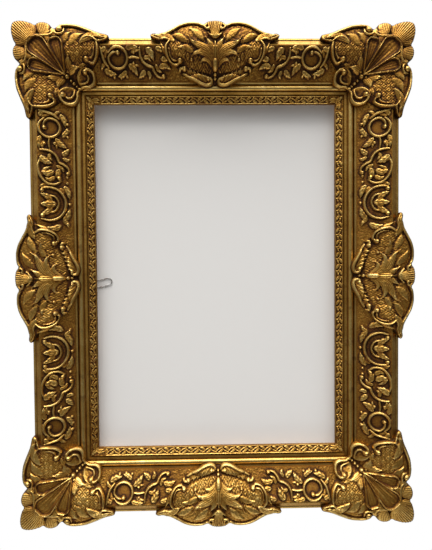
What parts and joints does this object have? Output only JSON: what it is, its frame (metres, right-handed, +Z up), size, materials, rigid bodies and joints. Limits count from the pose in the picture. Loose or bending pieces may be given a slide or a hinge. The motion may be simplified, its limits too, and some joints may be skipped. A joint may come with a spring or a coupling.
{
  "type": "ornate gilded picture frame",
  "caption": "Gilded swept picture frame with shell corners, centre cartouches, scroll panels, a carved sight slip, turning wire clips and hanger rings.",
  "frame": {"origin": "middle of the sight opening, in the plane of the frame's back", "axes": "+X to the right seen from the front, +Y into the wall so that the front faces -Y, +Z up"},
  "size_m": [0.809, 0.0785, 1.021],
  "materials": {
    "gilt_wood": "satin",
    "gilt_casting": "satin",
    "steel": "satin",
    "brass": "satin"
  },
  "bodies": {
    "frame": {"rail_top": "gilt_wood", "rail_right": "gilt_wood", "rail_bottom": "gilt_wood", "rail_left": "gilt_wood", "sight_slip_top": "gilt_casting", "sight_slip_right": "gilt_casting", "sight_slip_bottom": "gilt_casting", "sight_slip_left": "gilt_casting", "sight_leaf_tr": "gilt_casting", "sight_leaf_br": "gilt_casting", "sight_leaf_bl": "gilt_casting", "sight_leaf_tl": "gilt_casting", "corner_shell_tr": "gilt_casting", "corner_shell_br": "gilt_casting", "corner_shell_bl": "gilt_casting", "corner_shell_tl": "gilt_casting", "cartouche_top": "gilt_casting", "cartouche_right": "gilt_casting", "cartouche_bottom": "gilt_casting", "cartouche_left": "gilt_casting", "scroll_top_left": "gilt_casting", "scroll_top_right": "gilt_casting", "scroll_right_top": "gilt_casting", "scroll_right_bottom": "gilt_casting", "scroll_bottom_right": "gilt_casting", "scroll_bottom_left": "gilt_casting", "scroll_left_bottom": "gilt_casting", "scroll_left_top": "gilt_casting", "clip_screws": "brass", "hanger_strap_left": "steel", "hanger_strap_right": "steel", "hanger_screws": "brass", "mitre_nails": "steel"},
    "clip_top": {"clip_top": "steel"},
    "clip_right": {"clip_right": "steel"},
    "clip_bottom": {"clip_bottom": "steel"},
    "clip_left": {"clip_left": "steel"},
    "ring_left": {"hanger_ring_left": "steel"},
    "ring_right": {"hanger_ring_right": "steel"}
  },
  "joints": [
    {"name": "clip_top_turn", "type": "hinge", "parent": "frame", "child": "clip_top", "pos_m": [0, 0.0013, 0.372], "axis": [0, 1, 0], "range_deg": [0, 180]},
    {"name": "clip_right_turn", "type": "hinge", "parent": "frame", "child": "clip_right", "pos_m": [0.266, 0.0013, 0], "axis": [0, 1, 0], "range_deg": [0, 180]},
    {"name": "clip_bottom_turn", "type": "hinge", "parent": "frame", "child": "clip_bottom", "pos_m": [0, 0.0013, -0.372], "axis": [0, 1, 0], "range_deg": [0, 180]},
    {"name": "clip_left_turn", "type": "hinge", "parent": "frame", "child": "clip_left", "pos_m": [-0.266, 0.0013, -0.019], "axis": [0, 1, 0], "range_deg": [-76.5, 103.5]},
    {"name": "ring_left_swing", "type": "hinge", "parent": "frame", "child": "ring_left", "pos_m": [-0.318, 0.00315, 0.215], "axis": [1, 0, 0], "range_deg": [0, 150]},
    {"name": "ring_right_swing", "type": "hinge", "parent": "frame", "child": "ring_right", "pos_m": [0.318, 0.00315, 0.215], "axis": [1, 0, 0], "range_deg": [0, 150]}
  ]
}
